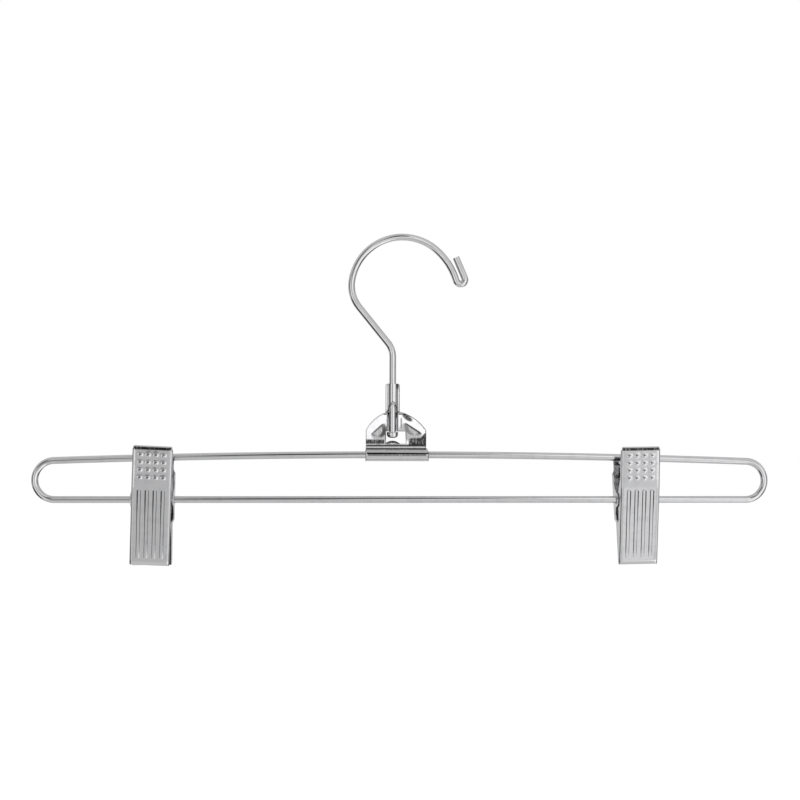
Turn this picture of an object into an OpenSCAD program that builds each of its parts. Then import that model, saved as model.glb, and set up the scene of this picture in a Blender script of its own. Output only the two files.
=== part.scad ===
// Trouser hanger: a closed wire frame, a swivel hook in a folded sheet bracket,
// and two sprung clips that slide on the lower wire.
// Origin: the highest inside point of the hook, where the rail bears.
// +X to the right, +Y away from the viewer, +Z up. Millimetres.

/* [Frame wire] */
// Overall length of the wire frame
frame_len = 355.6; // [300:0.1:460]
// Diameter of the frame wire
frame_d = 3.4; // [3:0.1:3.6]
// Centreline radius of the frame's round ends
end_r = 9.3; // [8.5:0.1:11]
// How far the upper wire bows up in the middle
bow = 2.95; // [2:0.05:5]
// How far the frame's middle stands right of the rail seat
frame_shift = 1.1; // [-4:0.1:4]

/* [Hook] */
// Diameter of the hook wire
hook_d = 3.3; // [2.8:0.1:3.4]
// Height of the rail seat above the middle of the upper wire
hook_drop = 103.3; // [98:0.1:130]
// Inner radius of the bowl that rides on the rail
bowl_r = 23.1; // [20:0.1:26]
// Centreline radius of the bend behind the bowl
back_r = 16.4; // [13:0.1:19]
// Lean of the straight run below the bowl, from upright
lean = 39.1; // [34:0.1:44]
// Centreline radius of the bend into the shank
shank_bend_r = 10.6; // [7:0.1:13]
// How far the shank stands left of the rail seat
shank_off = 4.7; // [2:0.1:7]
// Centreline radius of the bowl's flatter front end
front_r = 31.9; // [28:0.1:40]
// Centreline radius of the folded tip
tip_r = 2.15; // [2.1:0.05:3]
// Length of the folded-back leg at the tip
tip_leg = 10.7; // [6:0.1:12]
// Diameter of the shank's upset head
head_d = 5.5; // [4.8:0.1:6.5]
// Height of the upset head
head_h = 2.9; // [2:0.1:4]

/* [Bracket] */
// Thickness of the bracket sheet
sheet_t = 0.6; // [0.5:0.05:0.8]
// Length of the roll round the upper wire
roll_len = 30.4; // [30:0.1:40]
// How far the roll stands right of the leaves
roll_off = 0.5; // [0:0.1:0.5]
// Thickness of the roll's wall, where the sheet is wrapped twice
roll_wall = 1.25; // [1.1:0.05:1.3]
// Width of the fan-shaped leaves
fan_w = 29; // [28:0.1:30]
// Height of the leaves' shoulders above the upper wire
shoulder_h = 11.8; // [11:0.1:13]
// Height where the shoulder arcs would meet over the channel
fan_h = 21.2; // [20:0.1:23]
// Radius of the shoulder arc on the channel's near side
near_arc_r = 17.2; // [14:0.1:22]
// Radius of the shoulder arc on the channel's far side
far_arc_r = 21; // [18:0.1:26]
// Height of the neck's top above the upper wire
neck_h = 34.3; // [30:0.1:38]
// Width of the neck across its side flanges
neck_w = 6.8; // [6:0.1:8]
// Space between the two leaves
leaf_gap = 1.6; // [1.2:0.1:1.8]
// How far the channel stands left of the bracket's middle
channel_off = 1.7; // [1:0.1:2.2]
// Width of the open slot in the front leaf
slot_w = 5; // [4.4:0.1:5.2]
// Height of the slot's pointed arch above the upper wire
arch_h = 25.2; // [24:0.1:28]
// Width of the window round the shank's head
window_w = 9.7; // [9:0.1:10]
// Height of the window's top above the upper wire
window_top = 11.3; // [10.8:0.1:12]
// Height of the window at its corners
window_h = 6; // [5:0.1:6.2]
// Radius of the half-moon recess in the left lobe
left_recess_r = 4; // [3:0.1:4]
// Radius of the half-moon recess in the right lobe
right_recess_r = 5.4; // [4.5:0.1:5.4]
// Height of the strip pinched shut above the roll
strip_h = 1.2; // [0.8:0.1:1.3]
// Height over which the leaves spread above the pinched strip
spread_h = 0.7; // [0.6:0.1:0.8]

/* [Clips] */
// How far the left clip stands from the frame's middle
left_clip_x = 120.5; // [60:0.5:135]
// How far the right clip stands from the frame's middle
right_clip_x = 113.3; // [60:0.5:135]
// Tilt of the left clip's front jaw within its loose pivot
left_front_tilt = 2.5; // [0:0.1:2.5]
// Width of a jaw
clip_w = 19; // [17:0.1:22]
// Thickness of the jaw sheet
jaw_t = 0.6; // [0.5:0.05:0.7]
// Height of the front jaw's handle above the pivot
front_handle_h = 26; // [24:0.1:30]
// Height of the back jaw's handle above the pivot
back_handle_h = 21; // [20:0.1:23]
// Distance from the pivot down to the jaw's gripping edge
jaw_h = 31.5; // [28:0.1:38]
// Distance from the clip's mid-plane to the handle's outer face, at the top
top_half = 12; // [11:0.1:14]
// Distance from the clip's mid-plane to the outer face, at the bend
bend_half = 9.2; // [8.5:0.1:10]
// Height of the bend above the pivot
bend_h = 6; // [5:0.1:8]
// Distance from the clip's mid-plane to the outer face, above the lip
tip_half = 1.8; // [1.6:0.1:2.2]
// Height of the inturned gripping lip
lip_h = 1.8; // [1.5:0.1:2.4]
// Outer radius of the handle's rolled top
curl_r = 1.6; // [1.2:0.1:2]
// Width of the handle's side flanges
flange_w = 2.2; // [1.5:0.1:2.4]
// Radius of the pivot ears
ear_r = 3.6; // [3.4:0.1:4.2]

/* [Jaw pressings] */
// Diameter of a raised dimple
dimple_d = 2.4; // [1.8:0.1:2.8]
// Height of a raised dimple
dimple_rise = 0.5; // [0.3:0.05:0.6]
// Spacing of the dimples in both directions
dimple_pitch = 3.65; // [3.2:0.05:3.8]
// Height of the lowest row of dimples above the pivot
dimple_h = 10.7; // [9:0.1:12]
// Width of a raised rib
rib_w = 1.8; // [1.4:0.1:2.2]
// Height of a raised rib
rib_rise = 0.45; // [0.3:0.05:0.5]
// Spacing of the ribs
rib_pitch = 3.74; // [3:0.01:4]
// Length of a rib
rib_len = 32.5; // [24:0.1:33]
// Distance from the bend down to the ribs' upper ends
rib_drop = 1.4; // [1.2:0.1:3]

/* [Springs] */
// Width of a leaf spring
spring_w = 13; // [10:0.1:14.5]
// Thickness of a leaf spring
spring_t = 0.45; // [0.3:0.05:0.6]
// Height of the spring's bearing bends above the pivot
spring_h = 15; // [12:0.1:16]
// Width of the notch in a spring arm, at its top
notch_w = 7.6; // [5:0.1:8]

/* [Clearances] */
// Play of the hook shank in the bracket's neck, all round
swivel_play = 0.2; // [0.15:0.05:0.3]
// Play of the upper wire in the bracket's roll, all round
roll_play = 0.12; // [0.06:0.01:0.15]
// Play of the lower wire in the clips' ears, all round
ear_play = 0.45; // [0.45:0.05:0.6]
// Space between a back jaw's ear and the front jaw
ear_gap = 0.2; // [0.2:0.05:0.4]
// Space left where two pieces lie against each other
seat_gap = 0.3; // [0.2:0.05:0.4]

/* [Hidden] */
$fn = 72;
over = 1;                 // how far a cutter runs past what it cuts
bead_extra = 0.02;        // how much wider than the wire its joining beads are
dimple_top = 2.6;         // least distance from the top row of dimples to the handle's top
dimple_cols = 4;
rib_count = 4;

// Frame: the bow is one arc, tangent to the round ends
end_x = frame_len/2 - frame_d/2 - end_r;
bow_span = (end_x*end_x + bow*bow)/(2*bow);
bow_half_angle = 2*atan(bow/end_x);
bow_r = bow_span + end_r;
upper_z = -hook_drop;
end_z = upper_z - bow - end_r;
lower_z = end_z - end_r;

// Hook: centreline radius of the bowl, its centre, and where its bends meet
seat_r = bowl_r + hook_d/2;
bowl_c = [0, -bowl_r];
back_a = 172;             // bowl ends and the back bend starts
front_a = 50;             // bowl ends and the flatter front starts
tip_a = 17;               // front ends and the tip folds outward
leg_a = 23.4;             // lean of the folded-back leg
shank_x = -shank_off;
back_c = bowl_c + (seat_r - back_r)*dir(back_a);
run_top = back_c + back_r*dir(180 + lean);
run_len = (shank_x - shank_bend_r*(1 - cos(lean)) - run_top[0])/sin(lean);
run_end = run_top + run_len*[sin(lean), -cos(lean)];
shank_c = run_end - shank_bend_r*dir(lean);
front_c = bowl_c + (seat_r - front_r)*dir(front_a);
fold_c = front_c + (front_r + tip_r)*dir(tip_a);
leg_start = fold_c + tip_r*dir(leg_a);
head_z = upper_z + window_top - seat_gap;

// Bracket
bracket_x = shank_x + channel_off;
roll_r = frame_d/2 + roll_play + roll_wall;
leaf_face = leaf_gap/2 + sheet_t;
bore_r = hook_d/2 + swivel_play;
channel_r = bore_r + sheet_t;
crease_h = sqrt(roll_r*roll_r - sheet_t*sheet_t); // where the strip leaves the roll
strip_top = crease_h + strip_h;
leaf_h = strip_top + spread_h;
tongue_rise = 1.5;        // tongue that stands up into the window
tongue_w = 7.2;
arch_drop = 1.2;          // the arch springs from the slot this far below the leaves' top
arch_foot = fan_h - arch_drop;
neck_drop = 0.5;          // the neck's side flanges end this far below its channel
recess_floor = sheet_t;   // the pressed floors meet on the bracket's mid-plane
// Half-moon recesses: centre, tilt, and how far the straight side lies from the centre
left_recess_in = 5.2;     // from the leaf's left side
left_recess_h = shoulder_h - 0.2;
left_recess_tilt = 44;
left_recess_cut = 0.65;
right_recess_in = 4.6;    // from the leaf's right side
right_recess_h = shoulder_h + 1.6;
right_recess_tilt = -32.6;
right_recess_cut = -1.32;

// Clips: slopes of the two flat runs of a jaw, and the pivot
half_gap = seat_gap/2;
lip_lean = 30;            // lean of the gripping lip
curl_sweep = 110;         // how far the handle's top is rolled over
handle_corner_r = 1.2;
ear_waist = 20;           // the ear's disc meets its cheek this far above and below its middle
spring_foot = [1.3, 0.9]; // bent end of a spring arm, past its bearing bend
lip_z = lip_h - jaw_h;
jaw_slope = (bend_half - tip_half)/(bend_h - lip_z);
handle_slope = (top_half - bend_half)/(front_handle_h - bend_h);
flange_top = 2.2;         // distance from the handle's top to its flanges
ear_top = 12;             // the ears spread from the flanges between these two heights
ear_bottom = -9.5;
ear_notch = -6.5;         // small gap below the ears, where the flanges draw back
left_x = frame_shift - left_clip_x;
right_x = frame_shift + right_clip_x;

// A unit step in the direction a
function dir(a) = [cos(a), sin(a)];
// Points on the arc round c from angle a0 to a1
function arc(c, r, a0, a1, n) = [for (i = [0:n]) c + r*dir(a0 + (a1 - a0)*i/n)];
function reverse(p) = [for (i = [len(p) - 1:-1:0]) p[i]];
// The normal on the left of the step from p to q
function left_of(p, q) = [p[1] - q[1], q[0] - p[0]]/norm(q - p);
// A path moved sideways by d, mitred at its corners
function shifted(p, d) = [for (i = [0:len(p) - 1])
    let (n0 = left_of(p[max(i - 1, 0)], p[max(i, 1)]),
         n1 = left_of(p[min(i, len(p) - 2)], p[min(i + 1, len(p) - 1)]))
    p[i] + d*(n0 + n1)/(1 + n0*n1)];
// The section of a sheet of thickness t that lies on the left of a path
function sheet(p, t) = concat(p, reverse(shifted(p, t)));
// Centre of the circle of radius r through p and q, on the right of the step
function centre(p, q, r) =
    (p + q)/2 - left_of(p, q)*sqrt(r*r - pow(norm(q - p)/2, 2));
// A jaw's outer face, in [depth, height], at height z
function face(z) = z > bend_h
    ? [-bend_half - (z - bend_h)*handle_slope, z]
    : [-tip_half - (z - lip_z)*jaw_slope, z];
// A jaw's outer face from its lip up over the rolled top of its handle
function jaw_path(top) =
    let (a = atan(handle_slope),
         s = face(top - curl_r*(1 + sin(a))),
         c = s + curl_r*dir(a))
    concat([[-half_gap - jaw_t*cos(lip_lean), -jaw_h], face(lip_z), face(bend_h)],
           arc(c, curl_r, 180 + a, 180 + a - curl_sweep, 6));

// One stretch of round wire in the plane of the frame: a straight rod, or a bend round c
module stretch(s, d) {
    if (s[0] == "rod") {
        step = s[2] - s[1];
        translate([s[1][0], 0, s[1][1]]) rotate([0, atan2(step[0], step[1]), 0])
            cylinder(h = norm(step), d = d);
    } else {
        translate([s[1][0], 0, s[1][1]]) rotate([90, 0, 0])
            rotate_extrude(angle = abs(s[4] - s[3]), start = min(s[3], s[4]), $fn = facets(s[2]))
                translate([s[2], 0]) circle(d = d, $fn = 72);
    }
}

// Where a stretch starts, in [x, height]
function start_of(s) = s[0] == "rod" ? s[1] : s[1] + s[2]*dir(s[3]);
// A full circle's worth of facets, so that a flat arc stays smooth
function facets(r) = r > 1000 ? 1440 : 72;

module bead(p, d) {
    translate([p[0], 0, p[1]]) sphere(d = d + bead_extra);
}

// A wire of several stretches, up to number i, each joined to the one before by a bead
module wire(path, d, i, closed = false) {
    if (i == 0) {
        stretch(path[0], d);
        if (closed) bead(start_of(path[0]), d);
    } else union() {
        union() {
            wire(path, d, i - 1, closed);
            bead(start_of(path[i]), d);
        }
        stretch(path[i], d);
    }
}

// A section drawn in [depth, height] and given a width along X, about x = 0
module along_x(w) {
    translate([-w/2, 0, 0]) rotate([90, 0, 90]) linear_extrude(w) children();
}

// An outline drawn in [x, height] and given a depth from y0 to y1
module through_y(y0, y1) {
    translate([0, y1, 0]) rotate([90, 0, 0]) linear_extrude(y1 - y0) children();
}

module hook() {
    path = [["rod", leg_start + tip_leg*dir(90 + leg_a), leg_start],
            ["bend", fold_c, tip_r, leg_a + 360, tip_a + 180],
            ["bend", front_c, front_r, tip_a, front_a],
            ["bend", bowl_c, seat_r, front_a, back_a],
            ["bend", back_c, back_r, back_a, 180 + lean],
            ["rod", run_top, run_end],
            ["bend", shank_c, shank_bend_r, lean, 0],
            ["rod", [shank_x, shank_c[1]], [shank_x, head_z - head_h/2]]];
    color("silver") {
        wire(path, hook_d, len(path) - 1);
        translate([shank_x, 0, head_z - head_h]) shank_head();
    }
}

// The head upset on the shank's end: flat above, where it bears, and round below
module shank_head() {
    round_r = head_h*0.6;
    rotate_extrude() intersection() {
        union() {
            translate([head_d/2 - round_r, round_r]) circle(r = round_r);
            square([head_d/2 - round_r, head_h]);
            translate([0, round_r]) square([head_d/2, head_h - round_r]);
        }
        square([head_d/2, head_h]);
    }
}

module frame_wire() {
    path = [["rod", [-end_x, lower_z], [end_x, lower_z]],
            ["bend", [end_x, end_z], end_r, -90, 90 - bow_half_angle],
            ["bend", [0, upper_z - bow_r], bow_r, 90 - bow_half_angle, 90 + bow_half_angle],
            ["bend", [-end_x, end_z], end_r, 90 + bow_half_angle, 270]];
    color("gainsboro") translate([frame_shift, 0, 0])
        wire(path, frame_d, len(path) - 1, closed = true);
}

// The front of the fold, from within the roll's wall up the pinched strip to the leaf
module fold_section() {
    polygon(sheet([[-sheet_t, roll_r - roll_wall/2], [-sheet_t, strip_top],
                   [-leaf_face, leaf_h], [-leaf_face, leaf_h + sheet_t]], -sheet_t));
}

// Outline of a leaf: straight sides, and an arc over each shoulder
module fan_outline() {
    top = [-channel_off, fan_h];
    near_c = centre([-fan_w/2, shoulder_h], top, near_arc_r);
    far_c = centre(top, [fan_w/2, shoulder_h], far_arc_r);
    intersection() {
        translate([-fan_w/2, leaf_h]) square([fan_w, fan_h]);
        translate(near_c) circle(r = near_arc_r);
        translate(far_c) circle(r = far_arc_r);
    }
}

// A half moon: a disc of radius r, cut straight at a distance of cut from its centre
module half_moon(c, r, tilt, cut) {
    translate(c) rotate(tilt) intersection() {
        circle(r = r);
        translate([-2*r, cut - 4*r]) square([4*r, 4*r]);
    }
}

// Both recesses, grown by g all round
module recesses(g) {
    half_moon([left_recess_in - fan_w/2, left_recess_h], left_recess_r + g,
              left_recess_tilt, left_recess_cut + g);
    half_moon([fan_w/2 - right_recess_in, right_recess_h], right_recess_r + g,
              right_recess_tilt, right_recess_cut + g);
}

// The front leaf's slot over the shank, with its pointed arch
module slot_outline() {
    polygon([[-slot_w/2, window_top - over], [slot_w/2, window_top - over],
             [slot_w/2, arch_foot], [0, arch_h], [-slot_w/2, arch_foot]]);
}

// The window round the shank's head, with a tongue standing up into it
module window_outline() {
    tongue_r = (pow(tongue_w/2, 2) + tongue_rise*tongue_rise)/(2*tongue_rise);
    difference() {
        translate([-window_w/2, window_top - window_h]) square([window_w, window_h]);
        translate([-channel_off, window_top - window_h + tongue_rise - tongue_r])
            circle(r = tongue_r);
    }
}

module hook_bracket() {
    color("lightgray") translate([bracket_x, 0, upper_z]) difference() {
        union() {
            translate([roll_off, 0, 0]) along_x(roll_len) circle(r = roll_r);
            for (s = [0, 1]) mirror([0, s, 0]) {
                along_x(fan_w) fold_section();
                through_y(-leaf_face, -leaf_gap/2) fan_outline();
            }
            through_y(-leaf_face, leaf_face) recesses(sheet_t);
            translate([-channel_off, 0, 0]) {
                through_y(-sheet_t, sheet_t) translate([-neck_w/2, shoulder_h])
                    square([neck_w, neck_h - neck_drop - shoulder_h]);
                translate([0, 0, window_top - over]) cylinder(h = neck_h - window_top + over, r = channel_r);
            }
        }
        translate([roll_off, 0, 0]) along_x(roll_len + 2*over) circle(r = roll_r - roll_wall);
        for (s = [0, 1]) mirror([0, s, 0]) through_y(-channel_r - over, -recess_floor) recesses(0);
        through_y(-channel_r - over, channel_r + over) window_outline();
        translate([-channel_off, 0, 0]) {
            cylinder(h = neck_h + over, r = bore_r);
            through_y(-channel_r - over, 0) slot_outline();
        }
    }
}

// The front view of a jaw's plate, with the handle's corners rounded
module plate_outline(top) {
    r = handle_corner_r;
    translate([-clip_w/2, -jaw_h - over]) square([clip_w, jaw_h + over + top - r]);
    translate([r - clip_w/2, 0]) square([clip_w - 2*r, top]);
    for (s = [-1, 1]) translate([s*(clip_w/2 - r), top - r]) circle(r = r);
}

// A side flange above the ear, and one below it
module upper_flange(top) {
    polygon([face(ear_top), face(top - flange_top), face(top - flange_top) + [flange_w, 0],
             face(ear_top) + [flange_w, 0]]);
}

module lower_flange() {
    polygon([face(lip_z), face(ear_bottom), [-half_gap, ear_bottom], [-half_gap, lip_z]]);
}

// An ear and the cheek that carries it
module ear() {
    polygon([face(ear_bottom), face(bend_h), face(ear_top), face(ear_top) + [flange_w, 0],
             ear_r*dir(90 + ear_waist), ear_r*dir(270 - ear_waist), [-ear_r/2, ear_notch],
             [-half_gap, ear_bottom]]);
    circle(r = ear_r);
}

// Raised pressings stand on a flat run of a jaw: each is a cap of radius r that rises by
// rise from the outer face, which is the plane y = 0 here, and it is hollow behind
function cap_r(w, rise) = (w*w/4 + rise*rise)/(2*rise);

function dimple_rows(top) = 1 + floor((top - dimple_top - dimple_h)/dimple_pitch);

module dimple_centres(top) {
    for (i = [0:dimple_cols - 1], j = [0:dimple_rows(top) - 1])
        translate([(i - (dimple_cols - 1)/2)*dimple_pitch, 0, j*dimple_pitch]) children();
}

module rib_centres() {
    for (i = [0:rib_count - 1])
        translate([(i - (rib_count - 1)/2)*rib_pitch, 0, -rib_len]) children();
}

module dimples(top, thinner) {
    r = cap_r(dimple_d, dimple_rise);
    dimple_centres(top) translate([0, r - dimple_rise, 0]) sphere(r = r - thinner, $fn = 36);
}

module ribs(thinner) {
    r = cap_r(rib_w, rib_rise);
    rib_centres() translate([0, r - rib_rise, 0]) {
        cylinder(h = rib_len, r = r - thinner, $fn = 36);
        for (z = [0, rib_len]) translate([0, 0, z]) sphere(r = r - thinner, $fn = 36);
    }
}

// Places its children on the flat run of a jaw that starts at height z and rises at a slope
module on_face(z, slope) {
    translate([0, face(z)[0], z]) rotate([atan(slope), 0, 0]) children();
}

// Everything in front of the middle of a flat run's sheet
module front_half() {
    translate([-clip_w/2, -clip_w + jaw_t/2, -2*jaw_h]) cube([clip_w, clip_w, 4*jaw_h]);
}

// A jaw on the front side of its pivot: its ears stand out by step from its side flanges
module jaw(top, step) {
    difference() {
        union() {
            intersection() {
                along_x(clip_w) polygon(sheet(jaw_path(top), -jaw_t));
                through_y(-2*top_half, over) plate_outline(top);
            }
            for (s = [0, 1]) mirror([s, 0, 0]) {
                translate([clip_w/2 - jaw_t/2, 0, 0]) along_x(jaw_t) {
                    upper_flange(top);
                    lower_flange();
                }
                translate([clip_w/2 - jaw_t/2 + step, 0, 0]) along_x(jaw_t) ear();
            }
            if (step > 0) along_x(clip_w + 2*step)
                polygon(sheet([face(ear_bottom), face(bend_h), face(ear_top)], -jaw_t));
            on_face(dimple_h, handle_slope) intersection() {
                dimples(top, 0);
                front_half();
            }
            on_face(bend_h - rib_drop, jaw_slope) intersection() {
                ribs(0);
                front_half();
            }
        }
        on_face(dimple_h, handle_slope) dimples(top, jaw_t);
        on_face(bend_h - rib_drop, jaw_slope) ribs(jaw_t);
        along_x(clip_w + 2*step + 2*over) circle(r = frame_d/2 + ear_play);
    }
}

// A leaf spring, about the pivot: a U round the wire, with two notched arms
module spring() {
    wrap_r = frame_d/2 + seat_gap;
    tip = [face(spring_h)[0] + jaw_t + seat_gap + spring_t, spring_h];
    wrap_a = atan2(tip[1], tip[0]) + acos(wrap_r/norm(tip));
    half = concat([tip + spring_foot, tip], arc([0, 0], wrap_r, wrap_a, 270, 4));
    right = [for (p = reverse(half)) if (p[0] < -0.01) [-p[0], p[1]]];
    difference() {
        along_x(spring_w) polygon(sheet(concat(half, right), -spring_t));
        through_y(-top_half, top_half)
            polygon([[0, spring_h/2], [notch_w/2, spring_h + over], [-notch_w/2, spring_h + over]]);
    }
}

module left_front_jaw() {
    color("darkgray") translate([left_x, 0, lower_z]) rotate([0, left_front_tilt, 0])
        jaw(front_handle_h, 0);
}

module left_back_jaw() {
    color("gray") translate([left_x, 0, lower_z]) mirror([0, 1, 0]) jaw(back_handle_h, jaw_t + ear_gap);
}

module left_spring() {
    color("slategray") translate([left_x, 0, lower_z]) spring();
}

module right_front_jaw() {
    color("darkgray") translate([right_x, 0, lower_z]) jaw(front_handle_h, 0);
}

module right_back_jaw() {
    color("gray") translate([right_x, 0, lower_z]) mirror([0, 1, 0]) jaw(back_handle_h, jaw_t + ear_gap);
}

module right_spring() {
    color("slategray") translate([right_x, 0, lower_z]) spring();
}

hook();
frame_wire();
hook_bracket();
left_front_jaw();
left_back_jaw();
left_spring();
right_front_jaw();
right_back_jaw();
right_spring();
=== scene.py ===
"""Trouser hanger: bright plated wire and stamped sheet, hung in a plain white studio.

Sizes are in millimetres, as in the part's source, and become metres where MM stands.
Each sheet piece is made as the real one is: a flat blank is cut, embossed and folded.
"""
import math

import bpy
import numpy as np
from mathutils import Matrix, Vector, geometry


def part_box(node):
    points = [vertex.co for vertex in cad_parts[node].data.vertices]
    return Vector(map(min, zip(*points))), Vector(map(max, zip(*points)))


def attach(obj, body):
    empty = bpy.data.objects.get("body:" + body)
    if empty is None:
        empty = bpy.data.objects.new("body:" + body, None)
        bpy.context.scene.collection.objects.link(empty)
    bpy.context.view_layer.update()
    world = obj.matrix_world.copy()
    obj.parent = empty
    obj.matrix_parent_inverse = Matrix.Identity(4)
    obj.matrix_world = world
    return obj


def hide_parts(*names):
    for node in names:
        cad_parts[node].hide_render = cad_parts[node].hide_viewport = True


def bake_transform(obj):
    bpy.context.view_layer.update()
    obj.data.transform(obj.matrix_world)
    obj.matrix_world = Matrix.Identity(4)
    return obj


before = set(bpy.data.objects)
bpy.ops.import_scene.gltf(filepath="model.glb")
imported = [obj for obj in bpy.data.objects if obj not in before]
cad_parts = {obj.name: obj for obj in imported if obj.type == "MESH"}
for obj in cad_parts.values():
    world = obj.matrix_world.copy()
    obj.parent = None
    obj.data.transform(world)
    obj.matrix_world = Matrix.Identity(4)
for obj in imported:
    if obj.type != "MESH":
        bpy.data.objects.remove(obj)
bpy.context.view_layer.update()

MM = 0.001

# Frame wire and hook
FRAME_D = 3.4
END_R = 9.3
BOW = 2.95
HOOK_D = 3.3
BOWL_R = 23.1
BACK_R = 16.4
LEAN = 39.1
SHANK_BEND_R = 10.6
SHANK_OFF = 4.7
FRONT_R = 31.9
TIP_R = 2.15
TIP_LEG = 10.7
BACK_A, FRONT_A, TIP_A, LEG_A = 172, 50, 17, 23.4   # angles at which the hook's bends meet
HEAD_D = 5.5
HEAD_H = 2.9
HEAD_ROUND = 0.6          # how much of the head's height its rounded foot takes
HEAD_EDGE = 0.25
SHANK_X = -SHANK_OFF

# Bracket
SHEET_T = 0.6
ROLL_LEN = 30.4
ROLL_OFF = 0.5
ROLL_WALL = 1.25
LINING_GAP = 0.03         # between the two turns of the sheet in the roll
LINING_INSET = 0.25       # how far the inner turn ends short of the roll's ends
FAN_W = 29
SHOULDER_H = 11.8
FAN_H = 21.2
NEAR_ARC_R = 17.2
FAR_ARC_R = 21
NECK_H = 34.3
NECK_W = 6.8
LEAF_GAP = 1.6
CHANNEL_OFF = 1.7
SWIVEL_PLAY = 0.2
CHANNEL_R = HOOK_D/2 + SWIVEL_PLAY + SHEET_T
SLOT_W = 5
ARCH_H = 25.2
ARCH_FOOT = FAN_H - 1.2   # height where the slot's sides begin to close to its point
WINDOW_W = 9.7
WINDOW_TOP = 11.3
WINDOW_H = 6
TONGUE_W = 7.2
TONGUE_RISE = 1.5
ROLL_PLAY = 0.12
ROLL_R = FRAME_D/2 + ROLL_PLAY + ROLL_WALL
LEAF_FACE = LEAF_GAP/2 + SHEET_T
CREASE_Z = math.sqrt(ROLL_R**2 - SHEET_T**2)
STRIP_H = 1.2
STRIP_TOP = CREASE_Z + STRIP_H
SPREAD_H = 0.7
LEAF_Z = STRIP_TOP + SPREAD_H
# Half moons pressed into the leaves, as (x, height, radius, tilt, where the straight side lies)
MOONS = [(-FAN_W/2 + 5.75, SHOULDER_H + 0.2, 4.35, 42, 0.7),
         (FAN_W/2 - 5.4, SHOULDER_H + 2.2, 5.4, -32.6, -1.32)]
MOON_DEPTH = 0.12
BRACKET_GRID = 0.36       # spacing of the points that the embossed leaves are made of

# Clips
CLIP_W = 19
JAW_T = 0.6
FRONT_HANDLE_H = 26
BACK_HANDLE_H = 21
JAW_H = 31.5
TOP_HALF = 12
BEND_HALF = 9.2
BEND_H = 6
TIP_HALF = 1.8
LIP_H = 1.8
CURL_R = 1.6
CURL_SWEEP = 110
FLANGE_W = 2.2
FLANGE_TOP = 2.2
EAR_R = 3.6
EAR_TOP = 12
EAR_BOTTOM = -9.5
EAR_NOTCH = -6.5
EAR_STEP = 0.8            # how far a back jaw's ears stand out past the front jaw's
EAR_PLAY = 0.45
EAR_HOLE_R = FRAME_D/2 + EAR_PLAY
FRONT_TILT = 2.5          # lean of the left front jaw within the play of its holes, in degrees
RIGHT_TILT = -1.0         # and of the right clip
HALF_GAP = 0.15           # from a jaw's lip to the clip's mid-plane
FOLD_R = 1.1
ACROSS = 4                # dimples, and ribs, side by side
DIMPLE_D = 2.4
DIMPLE_FLAT = 0.74        # height of a dimple over its width
DIMPLE_RISE = 0.45
DIMPLE_PITCH = 3.65
DIMPLE_H = 10.7           # height of the lowest row over the wire
DIMPLE_TOP = 2.6          # least distance from the top row to the handle's top
RIB_W = 1.8
RIB_RISE = 0.45
RIB_PITCH = 3.74
RIB_LEN = 32.5
RIB_DROP = 1.4            # from the jaw's bend down to the ribs
RIB_CREASE = 0.82         # from a rib's middle to the line of painted shade along its side
SPRING_W = 13
SPRING_T = 0.45
SPRING_H = 15
SPRING_GAP = 0.3          # from a spring to the wire, and to the handles
SPRING_FREE_H = 1.5       # height over the wire below which a spring keeps its shape
NOTCH_W = 7.6

LIP_Z = LIP_H - JAW_H
JAW_SLOPE = (BEND_HALF - TIP_HALF)/(BEND_H - LIP_Z)
HANDLE_SLOPE = (TOP_HALF - BEND_HALF)/(FRONT_HANDLE_H - BEND_H)

# Places, read from the frame
hook_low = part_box("hook")[0]
wire_low, wire_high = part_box("frame_wire")
FRAME_MID = (wire_low.x + wire_high.x)/2/MM
LOWER_Z = wire_low.z/MM + FRAME_D/2
END_X = (wire_high.x - wire_low.x)/2/MM - FRAME_D/2 - END_R
END_Z = LOWER_Z + END_R
UPPER_Z = END_Z + END_R + BOW
HEAD_Z = hook_low.z/MM + HEAD_H
BRACKET_X = SHANK_X + CHANNEL_OFF


# ---- Small helpers ----

def unit(a):
    """The unit vector at angle a, in degrees."""
    return np.array([math.cos(math.radians(a)), math.sin(math.radians(a))])


def arc(centre, r, a0, a1, step=6.0):
    """Points on an arc from angle a0 to a1, in degrees, at most step apart."""
    n = max(2, math.ceil(abs(a1 - a0)/step))
    return [np.array(centre) + r*unit(a0 + (a1 - a0)*i/n) for i in range(n + 1)]


def ease(x, low, high):
    """0 below low and 1 above high, with a smooth rise between."""
    t = np.clip((np.asarray(x) - low)/(high - low), 0, 1)
    return t*t*(3 - 2*t)


def bump_line(distance, half_width, soft=0.15):
    """1 within half_width of a line and 0 further off."""
    return 1 - ease(np.abs(distance), half_width - soft, half_width + soft)


def spaced(points, step, closed=True):
    """The same outline with points no more than step apart."""
    out = []
    ends = points[1:] + points[:1] if closed else points[1:]
    for p, q in zip(points, ends):
        p, q = np.array(p, float), np.array(q, float)
        n = max(1, math.ceil(np.linalg.norm(q - p)/step - 1e-6))
        out += [p + (q - p)*i/n for i in range(n)]
    return out if closed else out + [np.array(points[-1], float)]


def inside(points, loop):
    """Which of the points lie inside a closed loop."""
    x, y = points[:, 0], points[:, 1]
    found = np.zeros(len(points), bool)
    for (x0, y0), (x1, y1) in zip(loop, loop[1:] + loop[:1]):
        if y0 != y1:
            crosses = (y0 > y) != (y1 > y)
            found ^= crosses & (x < (x1 - x0)*(y - y0)/(y1 - y0) + x0)
    return found


def signed_area(loop):
    """Area inside a closed loop, above 0 where the loop runs anticlockwise."""
    return sum(p[0]*q[1] - q[0]*p[1] for p, q in zip(loop, loop[1:] + loop[:1]))/2


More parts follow.
